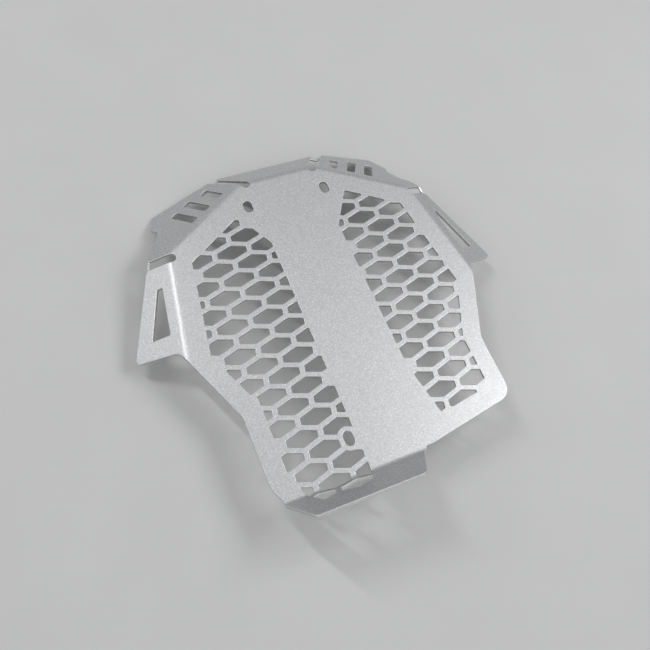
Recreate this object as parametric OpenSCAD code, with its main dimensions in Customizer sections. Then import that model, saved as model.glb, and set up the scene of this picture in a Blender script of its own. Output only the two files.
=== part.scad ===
// Radiator guard: one laser-cut sheet with six folded edges.
// The back of the flat panel lies on z = 0 and its front on z = sheet_t.
// The origin is midway between the two upper mounting slots, with Y up the panel.

/* [Sheet] */
// thickness of the sheet
sheet_t = 2; // [1.5:0.1:2.5]
// outer radius of the bends of the wings and shoulders
bend_r = 8; // [7:0.5:9]
// inner radius of the bend above the bottom lip
lip_bend_r = 3.5; // [3:0.25:4.5]

/* [Folds] */
// angle the two wings are folded back
wing_fold = 29; // [20:1:38]
// angle the two shoulders are folded back
shoulder_fold = 34; // [26:1:40]
// angle the top edge is folded back
top_fold = 40; // [30:1:48]
// angle the bottom lip is folded forward
lip_fold = 56; // [45:1:65]

/* [Mounting slots] */
// width of each mounting slot
slot_w = 6.4; // [5.4:0.2:7]
// length of each mounting slot from end to end
slot_len = 9.6; // [8.6:0.2:11]
// distance between the two upper mounting slots
slot_span = 57.6; // [56:0.2:59]
// distance from the upper mounting slots to the lower one
slot_drop = 176.9; // [175:0.1:178]
// width of the ring of sheet round the lower mounting slot
slot_ring = 3.1; // [2.4:0.1:4]

/* [Mesh] */
// distance between neighbouring cells of one row
cell_pitch = 24; // [23:0.25:25]
// distance between two rows of cells
row_pitch = 10.45; // [10:0.05:11]
// width of the sloping struts between the rows
strut_w = 3.3; // [2.6:0.1:4]
// width of the upright struts between the cells of one row
post_w = 3.5; // [2.6:0.1:4.4]
// radius of the sharp corners where cells are trimmed by the edge of their field
cell_r = 0.8; // [0.5:0.1:1]
// smallest area a trimmed cell may have
cell_least = 13; // [12.5:0.5:14]
// width of the plain strip between the two fields of cells
strip_w = 50; // [46:0.5:54]

/* [Side slots and windows] */
// width of the three long slots of each shoulder
vent_w = 6.4; // [5:0.2:7.6]
// corner radius of these slots
vent_r = 2; // [1:0.25:2.4]
// width of the four relief slots between the folds
relief_w = 6.4; // [5.6:0.2:7]
// corner radius of the windows in the wings
window_r = 0.8; // [0.5:0.1:1.2]
// width of the narrow webs that close the relief slots
web_w = 1.6; // [1.2:0.1:2.2]

/* [Hidden] */
$fn = 96;
// how far an arc is drawn past the edges that it meets, so that they never just touch
eps = 0.005;
// margin by which a cut or a blank runs past what it has to cover
over = 1;
// a large length: cuts this long, or a few times as long, run clear of the sheet
far = 60;
// half the depth of the block that a folded plate is cut from
deep = 9;
// length of flat panel that each fold repeats before its bend
stub = 1.5;
// how far short of the bend the panel itself stops, inside that stub
lap = 0.5;
// where the outline of a folded plate starts, well inside the panel
root = -8;
// the two sides, as places in each list of two
left = 0;
right = 1;

sheet_colour = [0.78, 0.79, 0.8];

// Folds: a point where the two front faces meet, the lean of the fold, its angle and the radius
// of the front face round the bend.
wing_lean = 9.1;
shoulder_lean = 58.1;
top_r = bend_r + 1;
lip_r = lip_bend_r;
wing_line = [[96.97, -52.31], [94.39, -52.31]];
shoulder_line = [60.66, -0.78];
top_line = [0, 20.03];
lip_line = [0, -200.07];

function fold(line, lean, angle, r) = [line, lean, angle, r];
function wing(s) = fold(wing_line[s], wing_lean, wing_fold, bend_r);
shoulder = fold(shoulder_line, shoulder_lean, shoulder_fold, bend_r);
top = fold(top_line, 90, top_fold, top_r);
lip = fold(lip_line, -90, -lip_fold, lip_r);

function inset(f) = f[3] * tan(abs(f[2]) / 2);
function outside_r(f) = f[2] > 0 ? f[3] : f[3] + sheet_t;
function along(f) = [sin(f[1]), -cos(f[1])];
function away(f) = [cos(f[1]), sin(f[1])];
// plan position of a point u along a fold and w beyond it
function plan(f, u, w) = f[0] + u * along(f) + (w > 0 ? w * cos(f[2]) : w) * away(f);

// Plane geometry
function unit(v) = v / norm(v);
function cross2(a, b) = a[0] * b[1] - a[1] * b[0];
function meet(p, d, q, e) = p + d * cross2(q - p, e) / cross2(d, e);
function at(list, i) = list[(i + len(list)) % len(list)];
function total(v, i = 0) = i < len(v) ? v[i] + total(v, i + 1) : 0;
function area(p) = total([for (i = [0 : len(p) - 1]) cross2(p[i], at(p, i + 1)) / 2]);

// the part of polygon p to the left of the line from a to b
function clip(p, a, b) = [
    for (i = [0 : 1 : len(p) - 1])
        let (q = p[i], n = at(p, i + 1), dq = cross2(b - a, q - a), dn = cross2(b - a, n - a))
        each concat(dq >= 0 ? [q] : [], dq * dn < 0 ? [q + (n - q) * dq / (dq - dn)] : [])
];
function clip_all(p, zone, i = 0) =
    i < len(zone) && len(p) > 2 ? clip_all(clip(p, zone[i], at(zone, i + 1)), zone, i + 1) : p;

// Corners: the turn at corner i, its tangent length for radius r, and the centre of its arc
function turn(p, i) =
    let (a = unit(p[i] - at(p, i - 1)), b = unit(at(p, i + 1) - p[i]))
    atan2(cross2(a, b), a * b);
function tangent(p, i, r) = r * tan(abs(turn(p, i)) / 2);
function arc_start(p, i, r) = p[i] - unit(p[i] - at(p, i - 1)) * tangent(p, i, r);
function arc_end(p, i, r) = p[i] + unit(at(p, i + 1) - p[i]) * tangent(p, i, r);
function arc_centre(p, i, r) =
    let (a = unit(p[i] - at(p, i - 1)), s = sign(turn(p, i)))
    arc_start(p, i, r) + r * s * [-a[1], a[0]];

// a polygon, anticlockwise, with each corner rounded to its own radius
module rounded(p, radii) {
    chords = [for (i = [0 : len(p) - 1]) each radii[i] > 0
        ? [arc_start(p, i, radii[i]), arc_end(p, i, radii[i])] : [p[i]]];
    difference() {
        union() {
            polygon(chords);
            for (i = [0 : len(p) - 1])
                if (radii[i] > 0 && turn(p, i) > 0)
                    translate(arc_centre(p, i, radii[i])) circle(radii[i] + eps);
        }
        for (i = [0 : len(p) - 1])
            if (radii[i] > 0 && turn(p, i) < 0)
                translate(arc_centre(p, i, radii[i])) circle(radii[i] + eps);
    }
}

module evenly_rounded(p, r) {
    rounded(p, [for (i = [0 : len(p) - 1]) r]);
}

// an upright obround of full width w and full length l
module obround(w, l) {
    square([w, l - w], center = true);
    for (s = [-1, 1]) translate([0, s * (l - w) / 2]) circle(d = w);
}

// Placing: the right-hand side is drawn, the left-hand side is its mirror image
module on_side(s) {
    mirror([s == left ? 1 : 0, 0, 0]) children();
}

module on_line(f) {
    translate([f[0][0], f[0][1], sheet_t]) rotate([0, 0, f[1] - 90]) children();
}

// the outer surface of the folded plate is z = 0 here, with x along the fold and y away from it
module on_plate(f) {
    on_line(f) rotate([-f[2], 0, 0]) children();
}

// cross-section of a fold, from a short stub on the panel round the bend and out along the plate:
// x runs away from the start of the bend, y = 0 is the outside of the bend
module fold_profile(f, reach) {
    a = abs(f[2]);
    r = outside_r(f);
    difference() {
        bend_side(a, r, reach, 0);
        bend_side(a, r - sheet_t, reach + over, sheet_t);
        translate([-far * 2 - stub, -far]) square([far * 2, far * 2]);
    }
}

// everything on the inner side of a bend of radius r that lies depth below the outside
module bend_side(a, r, reach, depth) {
    c = [r * tan(a / 2), -depth];
    out = [cos(a), -sin(a)];
    rounded([
        c - [far, 0],
        c - [far, far],
        c + out * reach + [out[1], -out[0]] * far,
        c + out * reach,
        c
    ], [0, 0, 0, 0, r]);
}

// half plane beyond the end of the panel, a little short of the bend, where the stub of the fold takes over
module beyond(f) {
    translate(f[0]) rotate(f[1] - 90) translate([-far * 2, -inset(f) - lap]) square([far * 4, far * 2]);
}

// a folded plate and its bend: the outline p is in the coordinates of the plate, its openings are children
module plate(f, p, radii) {
    low = min([for (q = p) q[0]]) - over;
    high = max([for (q = p) q[0]]) + over;
    reach = max([for (q = p) q[1]]) + over;
    intersection() {
        on_line(f) translate([0, -inset(f), f[2] > 0 ? 0 : -sheet_t]) mirror([0, 0, f[2] > 0 ? 0 : 1])
            translate([low, 0, 0]) rotate([90, 0, 90]) linear_extrude(high - low) fold_profile(f, reach);
        on_plate(f) translate([0, 0, -deep]) linear_extrude(2 * deep) difference() {
            rounded(p, radii);
            children();
        }
    }
}

// Notches, where a free edge of the panel runs into the free edge of a folded plate.
// e0 and e1 lie on the plate's edge, q and d give the panel's edge, r is the radius between them.
function notch_corner(f, e0, e1, q, d) = meet(plan_of(f, e0), plan_of(f, e1) - plan_of(f, e0), q, d);
function plan_of(f, e) = plan(f, e[0], e[1]);
function notch_reach(f, e0, e1, d, r) =
    let (e = unit(plan_of(f, e1) - plan_of(f, e0)))
    r / tan(acos(e * d) / 2);
function notch_foot(f, e0, e1, q, d, r) = notch_corner(f, e0, e1, q, d) + d * notch_reach(f, e0, e1, d, r);
function notch_head(f, e0, e1, q, d, r) =
    notch_corner(f, e0, e1, q, d) + unit(plan_of(f, e1) - plan_of(f, e0)) * notch_reach(f, e0, e1, d, r);
// the head of the notch in the coordinates of the plate
function notch_on_plate(f, e0, e1, q, d, r) =
    let (run = plan_of(f, e1) - plan_of(f, e0), h = notch_head(f, e0, e1, q, d, r) - plan_of(f, e0))
    e0 + (e1 - e0) * (h * run) / (run * run);

// steps of the round part of a notch, in degrees
notch_step = 5;

module notch(f, e0, e1, q, d, r) {
    foot = notch_foot(f, e0, e1, q, d, r);
    n = cross2(d, notch_head(f, e0, e1, q, d, r) - foot) > 0 ? [-d[1], d[0]] : [d[1], -d[0]];
    through() {
        polygon([for (a = [0 : notch_step : 360 - notch_step]) foot + n * r + (r + eps) * [cos(a), sin(a)]]);
        polygon([foot, foot + n * r, foot + n * r + d * r * 2, foot + d * r * 2]);
    }
}

module through() {
    translate([0, 0, -far]) linear_extrude(far * 2) children();
}

// Panel: its outline is one polygon that runs past the folds and is trimmed at each bend
panel_left = -84.1;
panel_right = 83.1;
waist_left = [panel_left, -142.9];
waist_right = [panel_right, -143.6];
hip_left = [-103.6, -96.5];
hip_right = [101.7, -96.5];
waist_r = 8;
base_right = [panel_right, -186.4];
base_slope = 0.179;
base_r = 10.5;
base_left = [panel_left, -188.7];
base_left_r = 15;
lip_left = -79.6;

slant_left = unit(waist_left - hip_left);
slant_right = unit(waist_right - hip_right);
base_run = unit([1, base_slope]);
wing_notch_r = 8;
lip_notch_r = 12;

// Wings: outline points in the coordinates of the plate
wing_root = 38.1;
// how far a wing is drawn past its notch, at the start of its outline and at the fold
wing_spare = [12, 10];
wing_tip = [[35.3, 35.7], [35.3, 34.6]];
wing_tip_r = 3;
wing_rise = [0.289, 0.325];
wing_head = [-30.5, -32];
window = [[-10.5, 8.3], [24, 8], [24, 21.3], [-10.5, 12.3]];

function wing_data(s) = s == left
    ? [wing(s), [wing_root, 0], wing_tip[left], mirrored(hip_left), mirrored_dir(slant_left), wing_notch_r]
    : [wing(s), [wing_root, 0], wing_tip[right], hip_right, slant_right, wing_notch_r];
function mirrored(p) = [-p[0], p[1]];
function mirrored_dir(d) = [-d[0], d[1]];

module wing_plate(s) {
    f = wing(s);
    k = wing_data(s);
    outline = [
        [wing_head[s], root],
        [wing_root + wing_spare[0], root],
        [wing_root + wing_spare[1], 0],
        notch_on_plate(k[0], k[1], k[2], k[3], k[4], k[5]),
        wing_tip[s],
        [wing_head[s], wing_tip[s][1] - wing_rise[s] * (wing_tip[s][0] - wing_head[s])]
    ];
    plate(f, outline, [0, 0, 0, 0, wing_tip_r, 0]) evenly_rounded(window, window_r);
}

module wing_notch(s) {
    k = wing_data(s);
    notch(k[0], k[1], k[2], k[3], k[4], k[5]);
}

// Shoulders: outline points in the coordinates of the plate
shoulder_outline = [
    [
        [-39, root], [40, root], [41, 0], [50, 8], [36, 22],
        [31, 20.3], [20.5, 30.2], [20.9, 37.5], [10, 48.3], [-39, 28.2]
    ],
    [
        [-38, root], [36.5, root], [37, 1], [43.7, 6.2], [33.2, 16],
        [28, 16.5], [17, 25.5], [17, 33], [3, 46.2], [-38, 30.3]
    ]
];
shoulder_radii = [0, 0, 0, 0, 1.5, 2, 1.5, 1.5, 3, 0];
vent_centre = [-24, -10.3, 2.7];
vent_foot = 6.5;
vent_top = [25.8, 31, 31];

module vents() {
    for (i = [0 : 2])
        evenly_rounded([
            [vent_centre[i] - vent_w / 2, vent_foot],
            [vent_centre[i] + vent_w / 2, vent_foot],
            [vent_centre[i] + vent_w / 2, vent_top[i]],
            [vent_centre[i] - vent_w / 2, vent_top[i]]
        ], vent_r);
}

module shoulder_plate(s) {
    plate(shoulder, shoulder_outline[s], shoulder_radii) vents();
}

// Top edge
top_outline = [
    [-25, root], [27, root], [27, 0], [38.8, 23.5], [37.4, 26.5], [-37.2, 26.5], [-39, 22.6], [-25, 0]
];

module top_plate() {
    plate(top, top_outline, [0, 0, 0, 0, 1, 1, 0, 0]);
}

// Bottom lip, with x measured to the left
lip_reach = 28.8;
lip_corner_r = 5;
lip_far = 69.4;
lip_near = 1;
lip_root = -12;
// how far the lip is drawn past its notch
lip_spare = 8;
lip_edge = [[lip_root, 0], [lip_near, lip_reach]];

module lip_plate() {
    outline = [
        [lip_root - lip_spare, root],
        [-lip_left, root],
        [-lip_left, inset(lip)],
        [lip_far, lip_reach],
        [lip_near, lip_reach],
        notch_on_plate(lip, lip_edge[0], lip_edge[1], base_right, base_run, lip_notch_r)
    ];
    plate(lip, outline, [0, 0, 0, lip_corner_r, lip_corner_r, 0]);
}

// how far the panel is drawn past the fold of the lip, and its corners beyond the upper folds
panel_spare = 2;
crown = [[112, -15], [30, 50]];

module panel_outline() {
    kl = wing_data(left);
    kr = wing_data(right);
    p = [
        [lip_left, lip_line[1] - panel_spare],
        notch_head(lip, lip_edge[0], lip_edge[1], base_right, base_run, lip_notch_r),
        notch_foot(lip, lip_edge[0], lip_edge[1], base_right, base_run, lip_notch_r),
        base_right,
        waist_right,
        notch_foot(kr[0], kr[1], kr[2], kr[3], kr[4], kr[5]),
        notch_head(kr[0], kr[1], kr[2], kr[3], kr[4], kr[5]),
        crown[0],
        crown[1],
        mirrored(crown[1]),
        mirrored(crown[0]),
        mirrored(notch_head(kl[0], kl[1], kl[2], kl[3], kl[4], kl[5])),
        mirrored(notch_foot(kl[0], kl[1], kl[2], kl[3], kl[4], kl[5])),
        waist_left,
        base_left,
        [lip_left, lip_line[1] + inset(lip)]
    ];
    difference() {
        rounded(p, [0, 0, 0, base_r, waist_r, 0, 0, 0, 0, 0, 0, 0, 0, waist_r, base_left_r, 0]);
        beyond(top);
        beyond(lip);
        for (s = [left, right]) on_side(s) {
            beyond(wing(s));
            beyond(shoulder);
        }
    }
}

// Mesh: hexagons on a leaning lattice, trimmed by the outline of each field
lattice = [-54.085, -52.47];
row_drift = 1.226;
cell_lean = 0.174;
cell_slope = 0.3325;
cell_half = cell_pitch / 2 - post_w / 2;
cell_top = (row_pitch + cell_pitch / 2 * cell_slope) / 2 - strut_w / 2 * norm([1, cell_slope]);
cell_side = cell_top - cell_half * cell_slope;
strip_x = 1.3;
strip_l = strip_x - strip_w / 2;
strip_r = strip_x + strip_w / 2;

// each field has an upper and a lower outline
fields = [
    [
        [[strip_l, -145], [strip_l, -32], [-38.5, -5.8], [-79.2, -31], [-89.2, -98.4], [-68.7, -145]],
        [[strip_l, -230], [strip_l, -120], [-71.6, -120], [-71.6, -187.5], [-51.5, -230]]
    ],
    [
        [[strip_r, -145], [69.1, -145], [87.4, -99.4], [76.8, -28.4], [41.9, -6.6], [strip_r, -32.5]],
        [[71.2, -120], [strip_r, -120], [strip_r, -144.5], [33.5, -182.2], [71.2, -175.8]]
    ]
];
// the first row of each field that follows its lower outline
lower_from = [8, 9];
first_row = -4;
last_row = [13, 12];
bend_row = 14;
first_column = -4;
last_column = 13;
// edges shorter than this are left out of a trimmed cell
short_edge = 0.6;
// corners that turn by more than this angle are rounded
sharp_turn = 80;
// share of the shorter edge that the rounding of a corner may take
corner_share = 0.45;

function cell_centre(i, j) = lattice + [cell_pitch / 2 * i - row_drift * j, -row_pitch * j];
function cell_shape() = [
    for (p = [
        [cell_half, cell_side], [0, cell_top], [-cell_half, cell_side],
        [-cell_half, -cell_side], [0, -cell_top], [cell_half, -cell_side]
    ]) [p[0] + cell_lean * p[1], p[1]]
];
function ccw(p) = area(p) < 0 ? [for (i = [len(p) - 1 : -1 : 0]) p[i]] : p;
function no_short_edges(p) = [
    for (i = [0 : 1 : len(p) - 1]) if (norm(p[i] - at(p, i - 1)) > short_edge) p[i]
];
function cell(s, i, j) = no_short_edges(clip_all(
    [for (p = cell_shape()) p + cell_centre(i, j)],
    ccw(fields[s][j < lower_from[s] ? 0 : 1])
));
function row(s, j) = [
    for (i = [first_column : last_column])
        let (p = (i + j) % 2 == 0 ? cell(s, i, j) : [])
        if (len(p) > 2 && area(p) > cell_least) p
];
function corner_room(p, i) =
    min(norm(p[i] - at(p, i - 1)), norm(at(p, i + 1) - p[i])) * corner_share
        / tan(max(abs(turn(p, i)), 1) / 2);

module cell_hole(p) {
    rounded(p, [for (i = [0 : len(p) - 1]) turn(p, i) > sharp_turn ? min(cell_r, corner_room(p, i)) : 0]);
}

module mesh_field(s) {
    for (j = [first_row : last_row[s]])
        for (p = row(s, j)) cell_hole(p);
}

// The last two rows of the left field run round the bend of the lip.
// share of the thickness, from the inner face, at which the sheet keeps its length in the bend
neutral_share = 0.45;
// length of flat sheet that the bend takes up
bend_run = (lip_r + neutral_share * sheet_t) * lip_fold * PI / 180;
// how far the straight cut of a cell runs on past the start of the bend
straight_lap = 1.2;
// where the slanted cut takes over after that start, and how deep it goes to each side
slant_start = 0.3;
slant_deep = 4;

// how far beyond the fold a point of the flat sheet comes to lie on the lip
function lip_w(y) = lip_line[1] - y + 2 * inset(lip) - bend_run;
// the same in the plane that lies halfway round the bend
function halfway(y) =
    let (d = lip_line[1] - y, t = inset(lip))
    cos(lip_fold / 2) * (d < -t ? d : lip_w(y) > t ? lip_w(y) : -t + 2 * t * (d + t) / bend_run);

module bent_cells() {
    for (p = row(left, bend_row)) {
        through() intersection() {
            cell_hole(p);
            translate([-far * 2, lip_line[1] + inset(lip) - straight_lap]) square(far * 2);
        }
        on_line(lip) rotate([lip_fold / 2, 0, 0])
            translate([0, 0, -slant_deep]) linear_extrude(slant_deep * 2) intersection() {
                cell_hole([for (q = p) [-q[0], halfway(q[1])]]);
                translate([0, slant_start - inset(lip) * cos(lip_fold / 2)]) square(far * 2);
            }
    }
    on_plate(lip) translate([0, 0, -sheet_t - over]) linear_extrude(sheet_t + 2 * over)
        for (p = row(left, bend_row + 1)) cell_hole([for (q = p) [-q[0], lip_w(q[1])]]);
}

// Mounting slots
slot_places = [[-slot_span / 2, 0], [slot_span / 2, 0], [-slot_span / 2, -slot_drop]];

module panel() {
    linear_extrude(sheet_t) difference() {
        panel_outline();
        difference() {
            for (s = [left, right]) mesh_field(s);
            translate(slot_places[2]) obround(slot_w + 2 * slot_ring, slot_len + 2 * slot_ring);
        }
        for (p = slot_places) translate(p) obround(slot_w, slot_len);
    }
}

// Relief slots: the centre of the round inner end, the middle of the outer end, the change of half width
relief = [
    [[[23.8, 18.9], [38.6, 34.9], -0.7], [[90.7, -23.2], [105.6, -21.4], -0.7]],
    [[[26.9, 18.6], [39.8, 37.6], 0.4], [[88.2, -21.4], [101, -19.8], -0.8]]
];

// a slot is cut to this many times the distance to its outer end, so that it comes out clear of the sheet
relief_run = 1.6;

// the point where a tangent from p touches the circle, on the side given
function touch(c, r, p, side) =
    let (a = atan2(p[1] - c[1], p[0] - c[0]) + side * acos(r / norm(p - c)))
    c + r * [cos(a), sin(a)];

module relief_slot(k) {
    c = k[0];
    r = relief_w / 2;
    d = unit(k[1] - c);
    n = [-d[1], d[0]] * (r + k[2]);
    a = touch(c, r - eps, k[1] + n, 1);
    b = touch(c, r - eps, k[1] - n, -1);
    through() {
        translate(c) circle(r);
        polygon([b, b + (k[1] - n - b) * relief_run, a + (k[1] + n - a) * relief_run, a]);
    }
}

// Webs: each closes the outer end of a relief slot with two short arms, from plate to plate, that meet inward
webs = [
    [
        [[43.7, 34.7, -13], [40.6, 35.3, -14.2], [35.5, 39.4, -14.9]],
        [[104.8, -19.2, -3.9], [106.2, -22, -5.4], [107.5, -25.2, -6.8]]
    ],
    [
        [[34.2, 36.1, -12.2], [38.8, 34.4, -13.6], [45.8, 37.1, -15.1]],
        [[98.5, -17.7, -2.5], [99.6, -21.1, -4.2], [101.4, -23.6, -5.1]]
    ]
];
// thickness of these arms
web_t = 1.2;

module web(k) {
    for (i = [0, 1]) web_arm(k[i], k[i + 1]);
    translate(k[1]) cylinder(d = web_w, h = web_t, center = true);
}

module web_arm(a, b) {
    d = b - a;
    translate(a) rotate([0, -asin(d[2] / norm(d)), atan2(d[1], d[0])])
        translate([0, -web_w / 2, -web_t / 2]) cube([norm(d), web_w, web_t]);
}

module guard_sheet() {
    color(sheet_colour) {
        difference() {
            union() {
                panel();
                top_plate();
                lip_plate();
                for (s = [left, right]) on_side(s) {
                    shoulder_plate(s);
                    wing_plate(s);
                }
            }
            for (s = [left, right]) on_side(s) {
                wing_notch(s);
                for (k = relief[s]) relief_slot(k);
            }
            notch(lip, lip_edge[0], lip_edge[1], base_right, base_run, lip_notch_r);
            bent_cells();
        }
        for (s = [left, right]) on_side(s) for (k = webs[s]) web(k);
    }
}

guard_sheet();
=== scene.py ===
import math

import bpy
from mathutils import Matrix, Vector


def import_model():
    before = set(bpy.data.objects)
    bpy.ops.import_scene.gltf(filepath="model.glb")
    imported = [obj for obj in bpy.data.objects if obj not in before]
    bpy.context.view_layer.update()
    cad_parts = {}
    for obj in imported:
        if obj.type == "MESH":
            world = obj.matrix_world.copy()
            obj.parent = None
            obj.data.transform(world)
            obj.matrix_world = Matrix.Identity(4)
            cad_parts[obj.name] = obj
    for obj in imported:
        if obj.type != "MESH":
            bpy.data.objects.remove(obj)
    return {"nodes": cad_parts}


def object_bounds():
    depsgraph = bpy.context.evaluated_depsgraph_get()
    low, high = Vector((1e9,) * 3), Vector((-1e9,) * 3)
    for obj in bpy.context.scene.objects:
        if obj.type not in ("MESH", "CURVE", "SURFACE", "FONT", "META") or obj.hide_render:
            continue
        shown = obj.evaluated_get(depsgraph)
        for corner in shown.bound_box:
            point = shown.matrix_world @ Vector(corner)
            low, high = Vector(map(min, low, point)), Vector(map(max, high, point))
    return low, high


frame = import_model()
cad_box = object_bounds()
scene = bpy.context.scene
scene.view_settings.view_transform = "Standard"


# the folds, in degrees: where each plate faces, counted from +X, and how far it is folded back,
# below zero where it is folded forward

FOLDS = {
    "top edge": (90, 40),
    "bottom lip": (-90, -56),
    "right wing": (9.1, 29),
    "left wing": (170.9, 29),
    "right shoulder": (58.1, 34),
    "left shoulder": (121.9, 34),
}

# how squarely a surface faces out of the nearest plate: on the faces and the bends, and on the cut walls
FACE_SQUARE = 0.86
WALL_SQUARE = 0.80


# the noises: scale per metre, detail and roughness

GRAIN = (2600.0, 2.0, 0.6)
FINE = (700.0, 3.0, 0.6)
BROAD = (22.0, 3.0, 0.5)
SPARKLE = (1100.0, 0.0, 0.5)
STREAKS = (3200.0, 2.0, 0.6)
FLOOR_NOISE = (14.0, 4.0, 0.5)
# the lines of the cutting beam are stretched along Z
STREAK_STRETCH = (1.0, 1.0, 0.06)
# the parts of a noise's values that are spread over its full effect
WIDE_SPREAD = (0.3, 0.7)
NARROW_SPREAD = (0.35, 0.65)
SPARKLE_SPREAD = (0.60, 0.72)


# the sheet

# its colours, and how much of the sparkle, the handling marks and the highlight painted along the edges
# shows
DARK_METAL = (0.55, 0.554, 0.562, 1)
LIGHT_METAL = (0.67, 0.674, 0.68, 1)
SPARKLE_METAL = (0.97, 0.97, 0.97, 1)
HANDLED_METAL = (0.56, 0.564, 0.572, 1)
DARK_WALL = (0.46, 0.46, 0.46, 1)
LIGHT_WALL = (0.70, 0.70, 0.69, 1)
# a painted highlight: the pale colour that the broken edges are lightened towards
PAINTED_EDGE_HIGHLIGHT = (0.90, 0.90, 0.90, 1)
SPARKLE_SHARE = 0.5
HANDLED_SHARE = 0.18
PAINTED_HIGHLIGHT_SHARE = 0.9
METALLIC = 0.9

# its roughness on the faces, and what the handling marks and the cut walls add to it
SMOOTH = 0.32
ROUGH = 0.42
HANDLED_ROUGHER = 0.08
WALL_ROUGHER = 0.12

# its broken edges and the highlight painted along them: radius in metres, samples, and the cosines of
# the turn where the painted highlight starts and is full
EDGE_RADIUS = 0.0007
EDGE_SAMPLES = 6
EDGE_HIGHLIGHT_STARTS = 0.998
EDGE_HIGHLIGHT_FULL = 0.92

# its bump: depth in metres, strength, and the share of each noise
BUMP_DEPTH = 0.0003
BUMP_STRENGTH = 0.45
GRAIN_BUMP = 0.5
FINE_BUMP = 0.5
STREAK_BUMP = 0.8


# the studio: floor, background and lamps

FLOOR_HALF = 6.0
FLOOR_DARK = (0.74, 0.742, 0.746, 1)
FLOOR_LIGHT = (0.79, 0.792, 0.795, 1)
FLOOR_ROUGHNESS = 0.85
# between these distances from the origin the floor runs into the plain background
FADE_FROM = 0.6
FADE_TO = 1.5
BACKGROUND = (0.42, 0.422, 0.425, 1)
SKY = 0.17

# place and size of each lamp in metres and its power in watts, and the point that they all face
LAMPS = {
    "key": ((0.90, -0.20, 1.05), (0.7, 0.5), 5.6),
    "left": ((-0.95, 0.55, 0.62), (0.6, 0.45), 1.0),
    "strip": ((-0.47, 0.64, 1.12), (0.07, 0.50), 3.2),
    "top": ((0.45, 0.45, 1.35), (0.9, 0.9), 1.0),
    "fill": ((-0.9, -0.9, 0.9), (1.6, 1.6), 4.8),
    "front": ((1.4, -1.6, 1.0), (2.6, 1.8), 6.0),
}
LAMP_TARGET = (0.0, -0.08, 0.0)


# the camera, fitted to the photograph

PHOTO_WIDTH = 650.0
FOCAL_PIXELS = 733.5
SENSOR_WIDTH = 36.0
NEAREST = 0.01
CAMERA_PLACE = (-0.14898, -0.27327, 0.42400)
CAMERA_TURN = (0.459378, -0.138936, -0.396713)


# node helpers

class Nodes:
    """Small helper that adds and links shader nodes."""

    def __init__(self, tree):
        self.tree = tree
        tree.nodes.clear()

    def add(self, kind, inputs=None, **settings):
        node = self.tree.nodes.new(kind)
        for name, value in settings.items():
            setattr(node, name, value)
        for name, value in (inputs or {}).items():
            self.put(node.inputs[name], value)
        return node

    def put(self, socket, value):
        if isinstance(value, bpy.types.NodeSocket):
            self.tree.links.new(value, socket)
        else:
            socket.default_value = value

    def math(self, operation, *values):
        node = self.add("ShaderNodeMath", operation=operation)
        for i, value in enumerate(values):
            self.put(node.inputs[i], value)
        return node.outputs[0]

    def vector(self, operation, *values):
        node = self.add("ShaderNodeVectorMath", operation=operation)
        for i, value in enumerate(values):
            self.put(node.inputs[i], value)
        return node.outputs["Value" if operation in ("DOT_PRODUCT", "LENGTH") else "Vector"]

    def noise(self, place, scale, detail, roughness):
        node = self.add("ShaderNodeTexNoise", {
            "Vector": place, "Scale": scale, "Detail": detail, "Roughness": roughness})
        return node.outputs["Fac"]

    def mix(self, factor, a, b):
        node = self.add("ShaderNodeMix", data_type="RGBA")
        self.put(node.inputs["Factor"], factor)
        self.put(node.inputs["A"], a)
        self.put(node.inputs["B"], b)
        return node.outputs["Result"]

    def ramp(self, value, low, high, to_low=0.0, to_high=1.0):
        node = self.add("ShaderNodeMapRange", {
            "Value": value, "From Min": low, "From Max": high, "To Min": to_low, "To Max": to_high})
        node.clamp = True
        return node.outputs["Result"]


def node_material(name):
    material = bpy.data.materials.new(name)
    material.use_nodes = True
    return material, Nodes(material.node_tree)


# sheet metal

def plate_normal(lean, angle):
    """Front normal of a plate folded back by angle about a fold that faces lean degrees from +X."""
    a, f = math.radians(lean), math.radians(angle)
    return (math.sin(f) * math.cos(a), math.sin(f) * math.sin(a), math.cos(f))


def cut_walls(n, normal):
    """1 on the walls left by the cutting beam, 0 on the faces of the sheet and round its bends."""
    panel_normal = (0.0, 0.0, 1.0)
    square = 0.0
    for plate in [panel_normal] + [plate_normal(*fold) for fold in FOLDS.values()]:
        square = n.math("MAXIMUM", square, n.math("ABSOLUTE", n.vector("DOT_PRODUCT", normal, plate)))
    return n.ramp(square, FACE_SQUARE, WALL_SQUARE)


def bevel_and_edge_highlight(n, normal):
    """The normal with every edge broken by a small bevel, and 1 where the bevel turns the surface, which
    marks where the edge highlight is painted.
    """
    bevel = n.add("ShaderNodeBevel", {"Radius": EDGE_RADIUS}, samples=EDGE_SAMPLES).outputs["Normal"]
    return bevel, n.ramp(n.vector("DOT_PRODUCT", bevel, normal), EDGE_HIGHLIGHT_STARTS, EDGE_HIGHLIGHT_FULL)


def sheet_colour(n, position, fine, broad, streaks, cut, edge_highlight):
    sparkle = n.ramp(n.noise(position, *SPARKLE), *SPARKLE_SPREAD)
    tone = n.mix(n.ramp(fine, *WIDE_SPREAD), DARK_METAL, LIGHT_METAL)
    tone = n.mix(n.math("MULTIPLY", sparkle, SPARKLE_SHARE), tone, SPARKLE_METAL)
    tone = n.mix(n.math("MULTIPLY", n.ramp(broad, *NARROW_SPREAD), HANDLED_SHARE), tone, HANDLED_METAL)
    wall = n.mix(n.ramp(streaks, *NARROW_SPREAD), DARK_WALL, LIGHT_WALL)
    # the broken edges are lightened towards a pale colour: a painted highlight
    return n.mix(n.math("MULTIPLY", edge_highlight, PAINTED_HIGHLIGHT_SHARE), n.mix(cut, tone, wall), PAINTED_EDGE_HIGHLIGHT)


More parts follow.
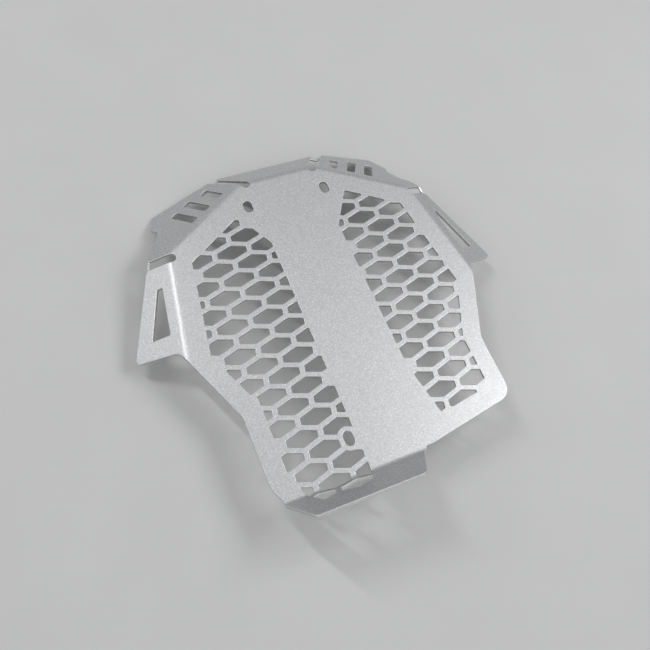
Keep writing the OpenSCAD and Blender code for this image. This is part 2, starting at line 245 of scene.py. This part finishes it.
def sheet_roughness(n, grain, broad, cut):
    rough = n.ramp(grain, *WIDE_SPREAD, SMOOTH, ROUGH)
    rough = n.math("ADD", rough, n.math("MULTIPLY", broad, HANDLED_ROUGHER))
    return n.math("ADD", rough, n.math("MULTIPLY", cut, WALL_ROUGHER))


def sheet_bump(n, grain, fine, streaks, cut, bevel):
    height = n.math("ADD", n.math("MULTIPLY", grain, GRAIN_BUMP), n.math("MULTIPLY", fine, FINE_BUMP))
    height = n.math("ADD", height, n.math("MULTIPLY", n.math("MULTIPLY", streaks, cut), STREAK_BUMP))
    bump = n.add("ShaderNodeBump", {
        "Height": height, "Strength": BUMP_STRENGTH, "Distance": BUMP_DEPTH, "Normal": bevel})
    return bump.outputs["Normal"]


def sheet_metal():
    """Satin metal: a blasted grain on the faces, fine lines on the cut walls, and a highlight painted
    along the broken edges.
    """
    material, n = node_material("satin_sheet")
    place = n.add("ShaderNodeNewGeometry").outputs
    position, normal = place["Position"], place["True Normal"]

    grain = n.noise(position, *GRAIN)
    fine = n.noise(position, *FINE)
    broad = n.noise(position, *BROAD)
    streaks = n.noise(n.vector("MULTIPLY", position, STREAK_STRETCH), *STREAKS)
    cut = cut_walls(n, normal)
    bevel, edge_highlight = bevel_and_edge_highlight(n, normal)

    shader = n.add("ShaderNodeBsdfPrincipled", {
        "Base Color": sheet_colour(n, position, fine, broad, streaks, cut, edge_highlight),
        "Roughness": sheet_roughness(n, grain, broad, cut),
        "Metallic": METALLIC,
        "Normal": sheet_bump(n, grain, fine, streaks, cut, bevel)})
    n.add("ShaderNodeOutputMaterial", {"Surface": shader.outputs[0]})
    return material


def dress_sheet():
    metal = sheet_metal()
    for node in frame["nodes"].values():
        node.data.materials.clear()
        node.data.materials.append(metal)


# floor, background and lamps

def shown(n):
    """1 for the rays that show the background: camera, glossy and transmission rays."""
    path = n.add("ShaderNodeLightPath").outputs
    return n.math("MAXIMUM", n.math("MAXIMUM", path["Is Camera Ray"], path["Is Glossy Ray"]),
                  path["Is Transmission Ray"])


def floor_material():
    """Pale floor that keeps the shadow near the object and runs into the plain background."""
    material, n = node_material("pale_floor")
    place = n.add("ShaderNodeNewGeometry").outputs["Position"]
    tone = n.mix(n.noise(place, *FLOOR_NOISE), FLOOR_DARK, FLOOR_LIGHT)
    shader = n.add("ShaderNodeBsdfPrincipled", {"Base Color": tone, "Roughness": FLOOR_ROUGHNESS})
    plain = n.add("ShaderNodeEmission", {"Color": BACKGROUND, "Strength": 1.0})
    far = n.ramp(n.vector("LENGTH", place), FADE_FROM, FADE_TO)
    blend = n.add("ShaderNodeMixShader", {"Fac": n.math("MULTIPLY", far, shown(n))})
    n.put(blend.inputs[1], shader.outputs[0])
    n.put(blend.inputs[2], plain.outputs[0])
    n.add("ShaderNodeOutputMaterial", {"Surface": blend.outputs[0]})
    return material


def floor():
    """Square floor at the height of the object's lowest point."""
    low = cad_box[0][2]
    h = FLOOR_HALF
    mesh = bpy.data.meshes.new("floor")
    mesh.from_pydata([(-h, -h, low), (h, -h, low), (h, h, low), (-h, h, low)], [], [(0, 1, 2, 3)])
    mesh.materials.append(floor_material())
    obj = bpy.data.objects.new("floor", mesh)
    scene.collection.objects.link(obj)


def world():
    """The background for the rays that show it, and a weaker even sky for the light that it gives."""
    scene.world = bpy.data.worlds.new("studio")
    scene.world.use_nodes = True
    n = Nodes(scene.world.node_tree)
    light = n.mix(shown(n), (SKY, SKY, SKY, 1), BACKGROUND)
    background = n.add("ShaderNodeBackground", {"Color": light, "Strength": 1.0})
    n.add("ShaderNodeOutputWorld", {"Surface": background.outputs[0]})


def area_light(name, place, size, power):
    light = bpy.data.lights.new(name, "AREA")
    light.shape = "RECTANGLE"
    light.size, light.size_y = size
    light.energy = power
    obj = bpy.data.objects.new(name, light)
    scene.collection.objects.link(obj)
    obj.location = place
    obj.rotation_euler = (Vector(LAMP_TARGET) - Vector(place)).to_track_quat("-Z", "Y").to_euler()


def camera():
    data = bpy.data.cameras.new("camera")
    data.sensor_width = SENSOR_WIDTH
    data.lens = SENSOR_WIDTH * FOCAL_PIXELS / PHOTO_WIDTH
    data.clip_start = NEAREST
    obj = bpy.data.objects.new("camera", data)
    scene.collection.objects.link(obj)
    obj.location = CAMERA_PLACE
    obj.rotation_euler = CAMERA_TURN
    scene.camera = obj


dress_sheet()
floor()
world()
for lamp, (place, size, power) in LAMPS.items():
    area_light(lamp, place, size, power)
camera()
